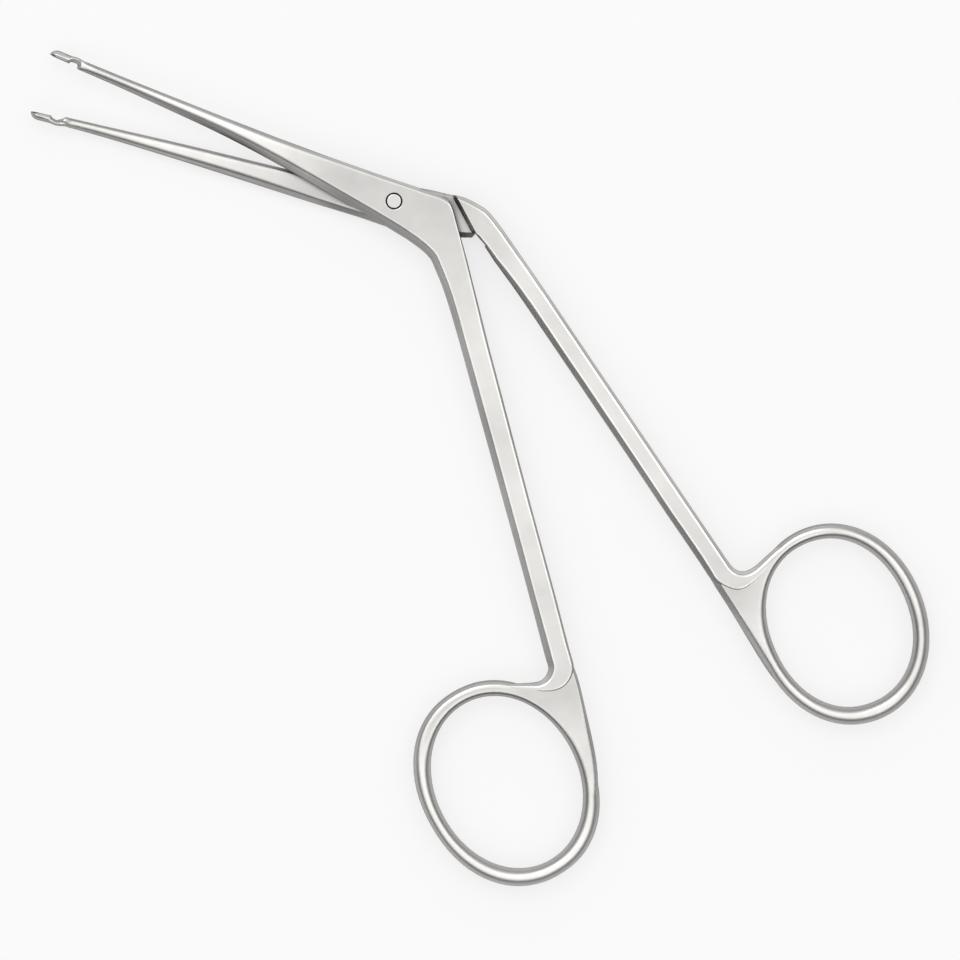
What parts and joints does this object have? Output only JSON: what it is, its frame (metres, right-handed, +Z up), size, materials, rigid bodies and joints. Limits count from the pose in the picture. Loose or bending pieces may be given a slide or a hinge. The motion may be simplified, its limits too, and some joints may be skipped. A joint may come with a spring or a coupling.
{
  "type": "ear forceps",
  "caption": "Angled ear forceps with scissor-lapped halves on a pivot pin, slim arms ending in small cups, straight shanks and oval finger rings.",
  "frame": {"origin": "where the pivot axis meets the back face of the joint, which the forceps rests on", "axes": "+Z up the pivot axis from the back of the joint to its front, -X out along the closed jaws, and the finger rings on the +X and -Y side"},
  "size_m": [0.1486, 0.0943, 0.0044],
  "materials": {
    "near_half_steel": "satin ground stainless steel",
    "far_half_steel": "satin ground stainless steel",
    "pin_steel": "satin ground stainless steel, flush with the joint"
  },
  "bodies": {
    "far_half": {"far_half": "far_half_steel", "pivot_pin": "pin_steel"},
    "near_half": {"near_half": "near_half_steel"}
  },
  "joints": [
    {"name": "jaw_pivot", "type": "hinge", "parent": "far_half", "child": "near_half", "pos_m": [0, 0, 0], "axis": [0, 0, 1], "range_deg": [-26, 8.9]}
  ]
}
